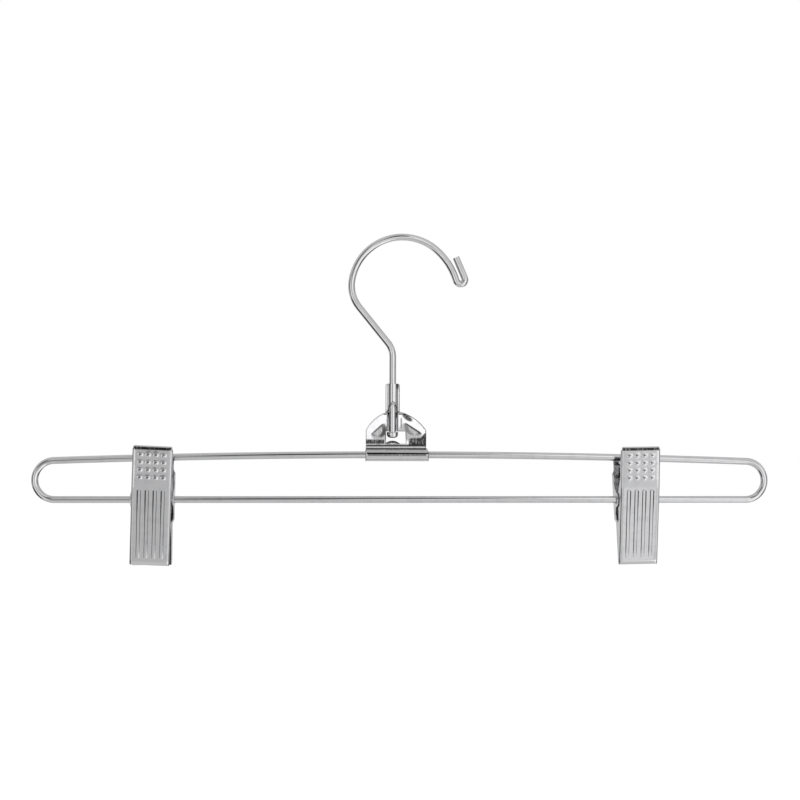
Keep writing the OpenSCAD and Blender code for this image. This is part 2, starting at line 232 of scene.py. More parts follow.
def link(name, verts, faces, sharp=40.0):
    """A mesh object from points in millimetres, smooth except at edges over the sharp angle."""
    mesh = bpy.data.meshes.new(name)
    mesh.from_pydata([tuple(float(c)*MM for c in v) for v in verts], [], faces)
    mesh.validate()
    mesh.polygons.foreach_set("use_smooth", [True]*len(mesh.polygons))
    mesh.set_sharp_from_angle(angle=math.radians(sharp))
    obj = bpy.data.objects.new(name, mesh)
    bpy.context.scene.collection.objects.link(obj)
    return obj


# ---- Round wire ----

def along(stretches):
    """Centreline points of a wire made of ("rod", p, q) and ("bend", centre, r, a0, a1)."""
    points = []
    for kind, *s in stretches:
        part = [np.array(p) for p in s] if kind == "rod" else bend_points(*s)
        points += part if not points else part[1:]
    return points


def bend_points(centre, r, a0, a1):
    """Points along a wire's bend, at most 4 mm and 6 degrees apart."""
    return arc(centre, r, a0, a1, min(6.0, math.degrees(4.0/r)))


def ring_faces(rings, sides, closed=False, turn=1):
    """Outward faces between rings of points, and over both ends unless the last meets the first.

    turn is -1 where the rings' points run clockwise, seen from the last ring.
    """
    faces = []
    for i in range(rings if closed else rings - 1):
        a, b = i*sides, (i + 1) % rings*sides
        faces += [(a + k, a + (k + 1) % sides, b + (k + 1) % sides, b + k) for k in range(sides)]
    if not closed:
        faces += [tuple(range(sides))[::-1], tuple(range((rings - 1)*sides, rings*sides))]
    return faces if turn > 0 else [f[:1] + f[:0:-1] for f in faces]


def tube(points, r, closed=False, sides=28, end_round=0.5):
    """Vertices and faces of a round wire that lies in the plane of the frame."""
    count = len(points)
    rings = []
    for i, p in enumerate(points):
        before = points[(i - 1) % count] if closed or i else p
        after = points[(i + 1) % count] if closed or i < count - 1 else p
        step = (after - before)/np.linalg.norm(after - before)
        rings.append((p, step, r))
    if not closed:
        first, last = round_end(rings[0], -1, end_round), round_end(rings[-1], 1, end_round)
        rings = first[::-1] + rings + last
    verts = []
    for p, step, size in rings:
        for k in range(sides):
            a = 2*math.pi*k/sides
            side = size*math.cos(a)
            verts.append((p[0] - step[1]*side, size*math.sin(a), p[1] + step[0]*side))
    return verts, ring_faces(len(rings), sides, closed, turn=-1)


def round_end(ring, way, radius, steps=3):
    """Smaller rings that round off the cut end of a wire. The last one lies on the cut."""
    p, step, r = ring
    out = []
    for k in range(1, steps + 1):
        a = math.pi/2*k/steps
        out.append((p + way*step*radius*(math.sin(a) - 1), step, r - radius*(1 - math.cos(a))))
    return out


def hook_path():
    """The hook's stretches, from its folded tip over the bowl and down to the head."""
    seat_r = BOWL_R + HOOK_D/2
    bowl_c = np.array([0, -BOWL_R])
    back_c = bowl_c + (seat_r - BACK_R)*unit(BACK_A)
    run_top = back_c + BACK_R*unit(180 + LEAN)
    lean = math.radians(LEAN)
    run_len = (SHANK_X - SHANK_BEND_R*(1 - math.cos(lean)) - run_top[0])/math.sin(lean)
    run_end = run_top + run_len*np.array([math.sin(lean), -math.cos(lean)])
    shank_c = run_end - SHANK_BEND_R*unit(LEAN)
    front_c = bowl_c + (seat_r - FRONT_R)*unit(FRONT_A)
    fold_c = front_c + (FRONT_R + TIP_R)*unit(TIP_A)
    leg_start = fold_c + TIP_R*unit(LEG_A)
    return [("rod", leg_start + TIP_LEG*unit(90 + LEG_A), leg_start),
            ("bend", fold_c, TIP_R, LEG_A + 360, TIP_A + 180),
            ("bend", front_c, FRONT_R, TIP_A, FRONT_A),
            ("bend", bowl_c, seat_r, FRONT_A, BACK_A),
            ("bend", back_c, BACK_R, BACK_A, 180 + LEAN),
            ("rod", run_top, run_end),
            ("bend", shank_c, SHANK_BEND_R, LEAN, 0),
            ("rod", (SHANK_X, shank_c[1]), (SHANK_X, HEAD_Z - HEAD_H/2))]


def lathe(profile, x, sides=36):
    """Vertices and faces of a profile of (radius, height), turned about an upright axis at x."""
    turns = [2*math.pi*k/sides for k in range(sides)]
    verts = [(x + r*math.cos(a), r*math.sin(a), z) for r, z in profile for a in turns]
    return verts, ring_faces(len(profile), sides)


def make_hook():
    """The hook's wire, with the head that its foot is upset to."""
    verts, faces = tube(along(hook_path()), HOOK_D/2)
    low = HEAD_Z - HEAD_H
    foot, edge = HEAD_H*HEAD_ROUND, HEAD_EDGE
    profile = [(HEAD_D/2 - foot + foot*math.sin(a), low + foot - foot*math.cos(a))
               for a in np.linspace(0, math.pi/2, 9)]
    profile += [(HEAD_D/2 - edge + edge*math.cos(a), HEAD_Z - edge + edge*math.sin(a))
                for a in np.linspace(0, math.pi/2, 4)]
    head_verts, head_faces = lathe(profile, SHANK_X)
    faces += [tuple(len(verts) + i for i in f) for f in head_faces]
    return link("hook_wire", verts + head_verts, faces)


def make_frame_wire():
    """The closed wire: a straight lower run, two round ends, and a bowed upper run."""
    half = math.degrees(2*math.atan(BOW/END_X))
    bow_r = (END_X**2 + BOW**2)/(2*BOW) + END_R
    path = [("rod", (-END_X, LOWER_Z), (END_X, LOWER_Z)),
            ("bend", (END_X, END_Z), END_R, -90, 90 - half),
            ("bend", (0, UPPER_Z - bow_r), bow_r, 90 - half, 90 + half),
            ("bend", (-END_X, END_Z), END_R, 90 + half, 270)]
    points = [p + (FRAME_MID, 0) for p in along(path)[:-1]]
    return link("frame_loop", *tube(points, FRAME_D/2, closed=True))


# ---- Formed sheet ----

class Spine:
    """The side view of a folded sheet: a path in (depth, height), its corners softened."""

    def __init__(self, points, soften=0.4, step=0.04):
        """soften is how far from a corner its rounding starts."""
        path = np.array(spaced([np.array(p, float) for p in points], step, closed=False))
        width = max(1, round(soften/step))
        padded = np.vstack([path[0] + (path[0] - path[1])*np.arange(width, 0, -1)[:, None], path,
                            path[-1] + (path[-1] - path[-2])*np.arange(1, width + 1)[:, None]])
        window = np.ones(2*width + 1)/(2*width + 1)
        self.path = np.column_stack([np.convolve(padded[:, k], window, "valid") for k in (0, 1)])
        steps = np.linalg.norm(np.diff(self.path, axis=0), axis=1)
        self.v = np.concatenate([[0], np.cumsum(steps)])
        self.length = self.v[-1]

    def at(self, v):
        """Depth and height at a distance v along the path."""
        return np.interp(v, self.v, self.path[:, 0]), np.interp(v, self.v, self.path[:, 1])

    def normal(self, v, reach=0.1):
        """The unit normal on the left of the path, pointing out of the sheet's outer face."""
        y1, z1 = self.at(np.clip(v + reach, 0, self.length))
        y0, z0 = self.at(np.clip(v - reach, 0, self.length))
        size = np.hypot(y1 - y0, z1 - z0)
        return -(z1 - z0)/size, (y1 - y0)/size

    def v_at_height(self, z):
        """Distance along the first rising stretch at which the path reaches height z."""
        top = np.argmax(self.path[:, 1])
        return np.interp(z, self.path[:top, 1], self.v[:top])


def normals_2d(loop):
    """At each point of a loop, the unit normal that points away from the sheet."""
    points = np.array(loop)
    step = np.roll(points, -1, 0) - points
    step /= np.linalg.norm(step, axis=1)[:, None]
    out = np.column_stack([step[:, 1], -step[:, 0]])
    both = out + np.roll(out, 1, 0)
    return both/np.maximum(np.linalg.norm(both, axis=1), 0.7)[:, None]


def cut_blank(loops, fill, edge):
    """A flat blank with its rim drawn in by edge: rim, the rim's normals, points, edges, faces."""
    rim = np.array([p for loop in loops for p in loop])
    outward = np.vstack([normals_2d(loop) for loop in loops])
    fill = np.array(fill)
    keep = inside(fill, loops[0])
    for hole in loops[1:]:
        keep &= ~inside(fill, hole)
    fill = fill[keep]
    near = np.array([np.min(np.sum((rim - p)**2, axis=1)) for p in fill])
    fill = fill[near > (2.5*edge)**2]
    blank = np.vstack([rim - edge*outward, fill])
    edges, start = [], 0
    for loop in loops:
        n = len(loop)
        edges += [(start + i, start + (i + 1) % n) for i in range(n)]
        start += n
    _, _, faces, origin, _, _ = geometry.delaunay_2d_cdt(
        [Vector(p) for p in blank], edges, [], 0, 1e-6)
    faces = [[origin[i][0] for i in f] for f in faces]
    centres = np.array([blank[f].mean(axis=0) for f in faces])
    keep, start = np.ones(len(faces), bool), 0
    for k, loop in enumerate(loops):
        within = inside(centres, [tuple(p) for p in blank[start:start + len(loop)]])
        keep &= within if k == 0 else ~within
        start += len(loop)
    return rim, outward, blank, edges, [f for f, k in zip(faces, keep) if k]


def formed_sheet(name, outline, holes, fill, form, thickness, edge=0.13, mirror_y=False,
                 shade_at=None, inner_shade_at=None):
    """A blank cut to an outline and holes, given its shape by form(u, v) and its thickness.

    thickness is below 0 where v runs down the front of the piece, and not up. fill holds the
    points inside the blank. The cut edges are rounded with radius edge.
    The last two arguments are functions of (u, v) that give how much shade is painted on the outer
    face and on the inner face. This painted shade stands in for the shade and dark reflections in
    pressed creases and folds.
    """
    loops = [outline if signed_area(outline) > 0 else outline[::-1]]
    loops += [hole if signed_area(hole) < 0 else hole[::-1] for hole in holes]
    rim, outward, blank, edges, faces = cut_blank(loops, fill, edge)

    count, n_rim = len(blank), len(rim)
    outer, inward = surface(form, blank)
    verts = [outer, outer + thickness*inward]
    sheets = [list(f) for f in faces] + [[i + count for i in reversed(f)] for f in faces]
    steps = [math.radians(a) for a in (30, 60, 90)]
    levels = [(edge*(1 - math.sin(a)), edge*(1 - math.cos(a))) for a in steps]
    levels += [(back, thickness - deep) for back, deep in reversed(levels)]
    for back, deep in levels:
        place, inward = surface(form, rim - back*outward)
        verts.append(place + deep*inward)
    firsts = [0] + [2*count + k*n_rim for k in range(len(levels))] + [count]
    for a, b in edges:
        for upper, lower in zip(firsts, firsts[1:]):
            sheets.append([upper + b, upper + a, lower + a, lower + b])
    verts = np.vstack(verts)
    if mirror_y:
        verts = verts*(1, -1, 1)
    if mirror_y != (thickness < 0):
        sheets = [f[::-1] for f in sheets]
    obj = link(name, verts, sheets)
    # Painted shade, kept per point: on the outer face and its rounded rim, and on the inner face.
    if shade_at:
        outer_levels = len(levels)//2
        painted_shade = np.zeros(len(verts))
        painted_shade[:count] = shade_at(*blank.T)
        painted_shade[2*count:2*count + outer_levels*n_rim] = np.tile(shade_at(*rim.T), outer_levels)
        if inner_shade_at:
            painted_shade[count:2*count] = inner_shade_at(*blank.T)
        attribute = obj.data.attributes.new("painted_shade", "FLOAT", "POINT")
        attribute.data.foreach_set("value", painted_shade.astype(np.float32))
    return obj


def surface(form, blank, reach=0.03):
    """The outer face's points over a blank, and the unit normals into the sheet."""
    u, v = blank[:, 0], blank[:, 1]
    across = form(u + reach, v) - form(u - reach, v)
    up = form(u, v + reach) - form(u, v - reach)
    inward = -np.cross(across, up)
    return form(u, v), inward/np.linalg.norm(inward, axis=1)[:, None]


def grid(low_u, high_u, low_v, high_v, step):
    """Points of a triangular grid."""
    rows = np.arange(low_v, high_v, step*0.87)
    points = []
    for i, v in enumerate(rows):
        points += [(u, v) for u in np.arange(low_u + (i % 2)*step/2, high_u, step)]
    return points


def without(points, others, gap):
    """The points that lie further than gap from all the others."""
    others = np.array(others)
    return [p for p in points if np.min(np.sum((others - p)**2, axis=1)) > gap*gap]


# ---- Clips ----

def face(z):
    """Depth of a jaw's outer face at height z."""
    if z > BEND_H:
        return -BEND_HALF - (z - BEND_H)*HANDLE_SLOPE
    return -TIP_HALF - (z - LIP_Z)*JAW_SLOPE


def jaw_spine(top):
    """Side view of a jaw whose handle ends at height top, and the height where its curl starts."""
    a = math.degrees(math.atan(HANDLE_SLOPE))
    start_z = top - CURL_R*(1 + math.sin(math.radians(a)))
    start = np.array([face(start_z), start_z])
    centre = start + CURL_R*unit(a)
    points = [(-HALF_GAP - JAW_T*math.cos(math.radians(30)), -JAW_H), (face(LIP_Z), LIP_Z),
              (face(BEND_H), BEND_H)]
    return Spine(points + arc(centre, CURL_R, 180 + a, 180 + a - CURL_SWEEP), soften=0.25), start_z


def fold_u(depth):
    """Distance across the blank, from its middle, of a point that the fold takes to a depth."""
    flat = CLIP_W/2 - FOLD_R
    if depth < FOLD_R:
        return flat + FOLD_R*math.acos(1 - depth/FOLD_R)
    return flat + FOLD_R*math.pi/2 + depth - FOLD_R


def jaw_marks(spine, top):
    """Centres of the dimples, and the two ends of each rib, in (across, along) on the blank."""
    rows = 1 + math.floor((top - DIMPLE_TOP - DIMPLE_H)/DIMPLE_PITCH)
    middle = (ACROSS - 1)/2
    low = spine.v_at_height(DIMPLE_H)
    dimples = [((i - middle)*DIMPLE_PITCH, low + j*DIMPLE_PITCH)
               for i in range(ACROSS) for j in range(rows)]
    high = spine.v_at_height(BEND_H - RIB_DROP)
    ribs = [((i - middle)*RIB_PITCH, high - RIB_LEN, high) for i in range(ACROSS)]
    return dimples, ribs


def jaw_rise(u, v, dimples, ribs):
    """How far the dimples and the ribs stand out of the sheet."""
    rise = np.zeros_like(u)
    for cu, cv in dimples:
        t = np.hypot(u - cu, (v - cv)/DIMPLE_FLAT)/(DIMPLE_D/2)
        rise += DIMPLE_RISE*np.maximum(1 - t*t, 0)**1.3
    for cu, low, high in ribs:
        t = np.hypot(u - cu, v - np.clip(v, low, high))/(RIB_W/2)
        rise += RIB_RISE*(1 - ease(t, 0.6, 1.0))*(0.35 + 0.65*ease(v, low, low + 8))
    return rise


def jaw_painted_shade(u, v, curl_v, dimples, ribs, rib_side):
    """How much shade is painted on a jaw: where its top rolls over, along the ribs, and on the
    dimples.
    """
    across = 1 - ease(np.abs(u), CLIP_W/2 - 1.0, CLIP_W/2 - 0.4)
    rolled = ease(v, curl_v - 0.15, curl_v + 0.1)*(1 - ease(v, curl_v + 1.2, curl_v + 1.5))
    places = [across*rolled]
    for cu, low, high in ribs:
        heavy_side = ease((u - cu)*rib_side, -0.1, 0.1)
        upper = ease(v, low + 8, high - 3)
        half_width = 0.09 + 0.2*heavy_side*upper
        line = bump_line(np.abs(u - cu) - RIB_CREASE, half_width, 0.06)
        reach = ease(v, low, low + 3)*(1 - ease(v, high, high + 0.4))
        places.append((0.35 + 0.15*heavy_side + 0.45*heavy_side*upper)*line*reach)
    for cu, cv in dimples:
        shade = np.hypot((u - cu + 0.1)/0.6, (v - cv - 0.2)/0.34)
        places.append(0.8*(1 - ease(shade, 0.6, 1.2)))
    return np.maximum.reduce(places)


def jaw_outline(spine, top):
    """Outline and wire holes of a jaw's blank, with the flanges and ears that are folded back."""
    at = spine.v_at_height
    side = [(fold_u(0.45), 0.05)]
    side += [(fold_u(-HALF_GAP - face(z)), at(z)) for z in (LIP_Z + 0.3, EAR_BOTTOM)]
    side.append((fold_u(-EAR_R/2 - face(EAR_NOTCH)), at(EAR_NOTCH)))
    side += [(fold_u(y - face(z)), at(z)) for y, z in arc((0, 0), EAR_R, -110, 110, 9)]
    side += [(fold_u(FLANGE_W), at(z)) for z in (EAR_TOP, top - FLANGE_TOP)]
    side += [(fold_u(0.4), at(top - FLANGE_TOP) + 0.9), (fold_u(0.4), spine.length - 1.2),
             (CLIP_W/2 - 1.2, spine.length - 0.02)]
    hole = [(fold_u(y - face(z)), at(z)) for y, z in arc((0, 0), EAR_HOLE_R, 0, 360, 12)[:-1]]
    return side + [(-u, v) for u, v in reversed(side)], [hole, [(-u, v) for u, v in hole]]


def jaw_fill(spine, curl_v, dimples, ribs):
    """Points inside a jaw's blank: close on the pressings, folds and bends, and wider elsewhere."""
    marks = []
    for cu, cv in dimples:
        marks.append((cu, cv))
        for k in range(1, 7):
            turn = 15*(k % 2)
            ring = arc((0, 0), k*DIMPLE_D/10, turn, turn + 360, 30)[:-1]
            marks += [(cu + du, cv + dv*DIMPLE_FLAT) for du, dv in ring]
    for cu, low, high in ribs:
        for t in (0, 0.5, 0.62, 0.72, 0.82, 0.91, 1.0, 1.1, 1.2, 1.4):
            for off in {t*RIB_W/2, -t*RIB_W/2}:
                marks += [(cu + off, v) for v in np.linspace(low, high, 56)]
            for end, a in ((low, 180), (high, 0)):
                if t:
                    marks += [tuple(p) for p in arc((cu, end), t*RIB_W/2, a, a + 180, 22)[1:-1]]
    folds = []
    for u in (fold_u(0), fold_u(0.05), fold_u(0.3), fold_u(0.65), fold_u(FOLD_R), fold_u(1.5)):
        folds += [(s*u, v) for s in (-1, 1) for v in np.arange(0.5, spine.length, 0.8)]
    bends = []
    lip_v = spine.v_at_height(LIP_Z)
    curl = np.linspace(curl_v - 0.2, spine.length, 16)
    for v in (lip_v - 0.3, lip_v, lip_v + 0.3, *curl):
        bends += [(u, v) for u in np.arange(-CLIP_W/2 + 1.5, CLIP_W/2 - 1.4, 0.9)]
    close = marks + folds + bends
    return close + without(grid(-20, 20, 0, spine.length, 1.0), close, 0.5)


def make_jaw(name, top, step, mirror_y, rib_side):
    """One half of a clip, its handle ending at height top and its ears standing out by step.

    rib_side is -1 where the painted shade beside the ribs is heavier on their left, and otherwise
    1.
    """
    spine, curl_z = jaw_spine(top)
    at = spine.v_at_height
    curl_v = at(curl_z)
    dimples, ribs = jaw_marks(spine, top)

    def form(u, v):
        """Folds the sides back, sets the ears out, and rolls the sides along with the curl."""
        y, z = spine.at(v)
        ny, nz = spine.normal(v)
        size = np.abs(u)
        flat = CLIP_W/2 - FOLD_R
        turn = np.clip((size - flat)/FOLD_R, 0, math.pi/2)
        beyond = np.maximum(size - flat - FOLD_R*math.pi/2, 0)
        x = np.minimum(size, flat) + FOLD_R*np.sin(turn)
        depth = FOLD_R*(1 - np.cos(turn)) + beyond
        wide = ease(v, at(EAR_BOTTOM) - 2, at(EAR_BOTTOM)) - ease(v, at(EAR_TOP), at(EAR_TOP) + 2)
        x = np.sign(u)*x*(1 + step*wide/(CLIP_W/2))
        rolled = ease(v, curl_v - 4, curl_v)
        back_y, back_z = 1 - rolled*(1 + ny), -rolled*nz
        rise = jaw_rise(u, v, dimples, ribs)
        return np.column_stack([x, y + depth*back_y + rise*ny, z + depth*back_z + rise*nz])

    # Painted shade on the jaw's outer face.
    def shade_at(u, v):
        return jaw_painted_shade(u, v, curl_v, dimples, ribs, rib_side)

    outline, holes = jaw_outline(spine, top)
    return formed_sheet(name, spaced(outline, 0.6), holes, jaw_fill(spine, curl_v, dimples, ribs),
                        form, JAW_T, mirror_y=mirror_y, shade_at=shade_at)


def spring_spine():
    """Side view of a leaf spring: down one arm, round the wire, and up the other."""
    wrap_r = FRAME_D/2 + SPRING_GAP
    tip = np.array([face(SPRING_H) + JAW_T + SPRING_GAP + SPRING_T, SPRING_H])
    wrap_a = math.degrees(math.atan2(tip[1], tip[0]) + math.acos(wrap_r/np.linalg.norm(tip)))
    half = [tip + (1.3, 0.9), tip] + arc((0, 0), wrap_r, wrap_a, 270, 12)
    path = half + [p*(-1, 1) for p in reversed(half[:-1])]
    return Spine(path, soften=0.35)


def make_spring_arm(name, at_back):
    """Half of a leaf spring, which meets the other half under the wire."""
    spine = spring_spine()

    def form(u, v):
        y, z = spine.at(v)
        return np.column_stack([u, y, z])

    end = spine.length
    outline = [(-SPRING_W/2, 0.02), (-NOTCH_W/2, 0.02), (0, SPRING_H/2), (NOTCH_W/2, 0.02),
               (SPRING_W/2, 0.02), (SPRING_W/2, end/2), (-SPRING_W/2, end/2)]
    fill = grid(-SPRING_W/2, SPRING_W/2, 0, end/2, 0.7)
    if at_back:
        outline, fill = ([(u, end - v) for u, v in points] for points in (outline, fill))
    return formed_sheet(name, spaced(outline, 0.5), [], fill, form, -SPRING_T, edge=0.1)


# ---- Bracket ----

def shoulder_centre(p, q, r):
    """Centre of the circle of radius r through p and q, on the right of the step."""
    p, q = np.array(p, float), np.array(q, float)
    step = q - p
    left = np.array([-step[1], step[0]])/np.linalg.norm(step)
    return (p + q)/2 - left*math.sqrt(r*r - (np.linalg.norm(step)/2)**2)


def angle_of(p, centre):
    """Angle at which p lies from the centre, in degrees."""
    return math.degrees(math.atan2(p[1] - centre[1], p[0] - centre[0]))


NECK_LEFT, NECK_RIGHT = -CHANNEL_OFF - NECK_W/2, -CHANNEL_OFF + NECK_W/2
FAN_TOP = (-CHANNEL_OFF, FAN_H)
NEAR_C = shoulder_centre((-FAN_W/2, SHOULDER_H), FAN_TOP, NEAR_ARC_R)
FAR_C = shoulder_centre(FAN_TOP, (FAN_W/2, SHOULDER_H), FAR_ARC_R)
WINDOW_LOW = WINDOW_TOP - WINDOW_H
TONGUE_R = ((TONGUE_W/2)**2 + TONGUE_RISE**2)/(2*TONGUE_RISE)
TONGUE_C = (-CHANNEL_OFF, WINDOW_LOW + TONGUE_RISE - TONGUE_R)


def bracket_spine():
    """Side view of the bracket: down the front leaf, round the roll, and up the back leaf."""
    crease_a = math.degrees(math.atan2(CREASE_Z, -SHEET_T))
    front = [(-LEAF_FACE, NECK_H), (-LEAF_FACE, LEAF_Z), (-SHEET_T, STRIP_TOP),
             *arc((0, 0), ROLL_R, crease_a, 270)]
    return Spine(front + [(-y, z) for y, z in reversed(front[:-1])], soften=0.2)


def bracket_side():
    """The right edge and the left edge of a leaf and half the roll, in (x, height)."""
    neck_top = NECK_H - 0.5
    roll_right, roll_left = ROLL_OFF + ROLL_LEN/2, ROLL_OFF - ROLL_LEN/2
    right_foot = (NECK_RIGHT, FAR_C[1] + math.sqrt(FAR_ARC_R**2 - (NECK_RIGHT - FAR_C[0])**2))
    left_foot = (NECK_LEFT, NEAR_C[1] + math.sqrt(NEAR_ARC_R**2 - (NECK_LEFT - NEAR_C[0])**2))
    # Under the leaf the edges step out to the ends of the longer roll.
    right = [(NECK_RIGHT, neck_top)]
    right += arc(FAR_C, FAR_ARC_R, angle_of(right_foot, FAR_C),
                 angle_of((FAN_W/2, SHOULDER_H), FAR_C), 1.5)
    right += [(FAN_W/2, STRIP_TOP), (FAN_W/2 + 0.1, CREASE_Z + 0.2), (roll_right - 0.5, 2.3),
              (roll_right, 0.8)]
    left = [(roll_left, 2.0), (-FAN_W/2, CREASE_Z + 0.2), (-FAN_W/2, STRIP_TOP)]
    left += arc(NEAR_C, NEAR_ARC_R, angle_of((-FAN_W/2, SHOULDER_H), NEAR_C),
                angle_of(left_foot, NEAR_C), 1.5)
    return right, left + [(NECK_LEFT, neck_top)]


def window_and_slot():
    """The window round the shank's head, and the slot above it, in (x, height)."""
    reach = math.degrees(math.asin(TONGUE_W/2/TONGUE_R))
    tongue = arc(TONGUE_C, TONGUE_R, 90 + reach, 90 - reach)
    base = [(-WINDOW_W/2, WINDOW_LOW)] + [p for p in tongue if p[0] > -WINDOW_W/2 + 0.1]
    base += [(WINDOW_W/2, WINDOW_LOW), (WINDOW_W/2 - 0.3, WINDOW_TOP)]
    shoulder_z = (ARCH_FOOT + ARCH_H)/2 + 0.5
    slot = [(SLOT_W/2, WINDOW_TOP), (SLOT_W/2, ARCH_FOOT), (SLOT_W/4, shoulder_z),
            (0, ARCH_H + 0.3), (-SLOT_W/4, shoulder_z), (-SLOT_W/2, ARCH_FOOT),
            (-SLOT_W/2, WINDOW_TOP)]
    slot = [(x - CHANNEL_OFF, z) for x, z in slot]
    corner = [(-WINDOW_W/2, WINDOW_TOP)]
    return base + corner, base + slot + corner


def rim_distance(x, z):
    """How far a place on a leaf lies inside the fan's edge."""
    near = NEAR_ARC_R - np.hypot(x - NEAR_C[0], z - NEAR_C[1])
    far = FAR_ARC_R - np.hypot(x - FAR_C[0], z - FAR_C[1])
    return np.minimum(np.minimum(near, far), FAN_W/2 - np.abs(x))


def moon_place(moon, x, z):
    """A place in a half moon's own frame: along its straight side, and across it."""
    cx, cz, _, tilt, _ = moon
    c, s = unit(tilt)
    return (x - cx)*c + (z - cz)*s, (z - cz)*c - (x - cx)*s


def in_moon(moon, x, z, wall):
    """1 on the floor of a half moon and 0 outside, with sloping walls between."""
    _, _, r, _, cut = moon
    p, q = moon_place(moon, x, z)
    return ease(r - np.hypot(p, q), 0, wall)*ease(cut - q, 0, 0.35)


def leaf_rise(x, z):
    """How far the embossed leaf stands out from its plain face, at a place on the leaf."""
    off = x + CHANNEL_OFF
    closed = ease(z, ARCH_FOOT - 0.6, ARCH_FOOT + 0.9)*ease(np.abs(off), 0.5, 2.0)
    out = -(LEAF_FACE - SHEET_T)*closed
    round_top = np.sqrt(np.maximum(CHANNEL_R**2 - off*off, 0)) - LEAF_FACE
    channel = ease(z, ARCH_FOOT - 2.5, ARCH_FOOT + 0.5)
    out = np.where(np.abs(off) < CHANNEL_R, out + channel*(np.maximum(round_top, out) - out), out)
    for moon in MOONS:
        out -= MOON_DEPTH*in_moon(moon, x, z, 2.4)*ease(z, LEAF_Z + 0.2, LEAF_Z + 1.2)
    return out*ease(z, LEAF_Z - 0.6, LEAF_Z + 0.2)


def foot_places(x, z):
    """Painted shade on a leaf's foot: a dark band, a line along the crease over the roll, and round
    the tongue.
    """
    low = 5.1 - 0.7*ease(x, 2, 6)
    top = 7.0 + 0.9*ease(x, 4, 9) + 2.2*ease(x, 11.5, 14.3)
    band = ease(z, low, low + 0.4)*(1 - ease(z, top, top + 1.0))
    clear_of_window = ease(np.abs(x - 0.3), 5.4, 6.2)
    strip = ease(z, CREASE_Z, CREASE_Z + 0.3)*(1 - ease(z, 4.4, 4.7))
    over_tongue = np.hypot(x - TONGUE_C[0], z - TONGUE_C[1]) - TONGUE_R
    by_tongue = 1 - ease(np.abs(x + 0.9), 3.8, 4.5)
    tongue_face = ease(z, 4.4, 4.6)*(1 - ease(over_tongue, -0.9, -0.6))
    return [clear_of_window*band,
            0.5*strip,
            0.9*bump_line(z - CREASE_Z - 0.05, 0.18),
            bump_line(over_tongue + 0.5, 0.65)*ease(z, 5.0, 5.4)*by_tongue,
            0.4*by_tongue*tongue_face]


def roll_places(x, z):
    """Painted shade on the roll: a dark streak along it, and at its two ends."""
    aside = np.abs(x - ROLL_OFF)
    return [0.82*bump_line(z - 0.2, 0.62, 0.3)*(1 - ease(aside, 13.9, 14.4)),
            0.6*ease(aside, 14.75, 14.95)*(1 - ease(z, 2.2, 2.6))]


def fan_places(x, z):
    """Painted shade on the fan: a dark patch at its upper right, a streak beside the slot, and its
    rim.
    """
    from_dark_patch = np.hypot((x - 5.4)/2.6, (z - 17.9 + 0.5*(x - 5.4))/1.5)
    rim = 1 - ease(rim_distance(x, z), 0.04, 0.14 + 0.2*ease(x, 0, 8))
    on_fan = (1 - ease(z, ARCH_FOOT, ARCH_FOOT + 1))*ease(z, LEAF_Z + 2, LEAF_Z + 3)
    return [0.97*(1 - ease(from_dark_patch, 0.7, 1.1)),
            0.85*bump_line(x - 2.45, 0.3)*bump_line(z - 15.0, 2.8, 0.6),
            0.75*rim*on_fan]


def neck_places(x, z):
    """Painted shade on the neck: by the slot's pointed top, along the channel's two sides, and on
    the flanges.
    """
    off = x + CHANNEL_OFF
    on_neck = ease(z, ARCH_FOOT, ARCH_FOOT + 1)
    arch_half = SLOT_W/2*np.sqrt(np.clip((ARCH_H + 0.4 - z)/(ARCH_H + 0.4 - ARCH_FOOT), 0, 1))
    on_arch = ease(z, ARCH_FOOT - 0.5, ARCH_FOOT + 0.5)*(1 - ease(z, ARCH_H + 0.6, ARCH_H + 0.9))
    return [0.9*bump_line(np.abs(off) - arch_half, 0.35)*on_arch,
            0.9*bump_line(off + 1.3, 0.24)*ease(z, ARCH_H - 0.5, ARCH_H + 0.5),
            0.97*bump_line(off - 2.34, 0.22 + 0.35*ease(z, 31, 33))*on_neck,
            0.25*ease(np.abs(off), 2.5, 2.9)*on_neck]


def moon_places(moon, x, z):
    """Painted shade in a half moon: on its floor, fading downwards, and along the line at its top.
    """
    _, _, r, _, cut = moon
    p, q = moon_place(moon, x, z)
    half = math.sqrt(r**2 - cut**2)
    below = cut - q
    beside = 1 - ease(np.abs(p), half - 0.6, half + 0.6 + 0.3*below.clip(0))
    ends = 1 - ease(np.abs(p), half - 1.0, half - 0.3)
    return [0.55*ease(below, 0.1, 0.4)*beside*(1 - ease(below, 6.2, 7.2)),
            bump_line(below - 0.2, 0.27)*ends]


def leaf_painted_shade(x, z):
    """How much shade is painted on the bracket's front: the darkest of all its painted places."""
    places = foot_places(x, z) + roll_places(x, z) + fan_places(x, z) + neck_places(x, z)
    for moon in MOONS:
        places += moon_places(moon, x, z)
    return np.maximum.reduce(places)


def slot_painted_shade(x, z):
    """How much shade is painted on the back leaf's inner face, where it shows through the slot."""
    return 0.75*(1 - ease(np.abs(x + CHANNEL_OFF), 2.8, 3.2))*ease(z, WINDOW_TOP, WINDOW_TOP + 0.4)


# Rows of points up the neck, from the channel's middle: closest where the leaf turns up beside it
NECK_ROWS = [-3.1, -2.9, -2.7, -2.5, -2.3, -1.8, -1.6, -1.45, -1.3, -1.15, -1.0, -0.8, 0,
             0.8, 1.5, 1.75, 1.95, 2.1, 2.25, 2.4, 2.55, 2.7, 2.9, 3.1]


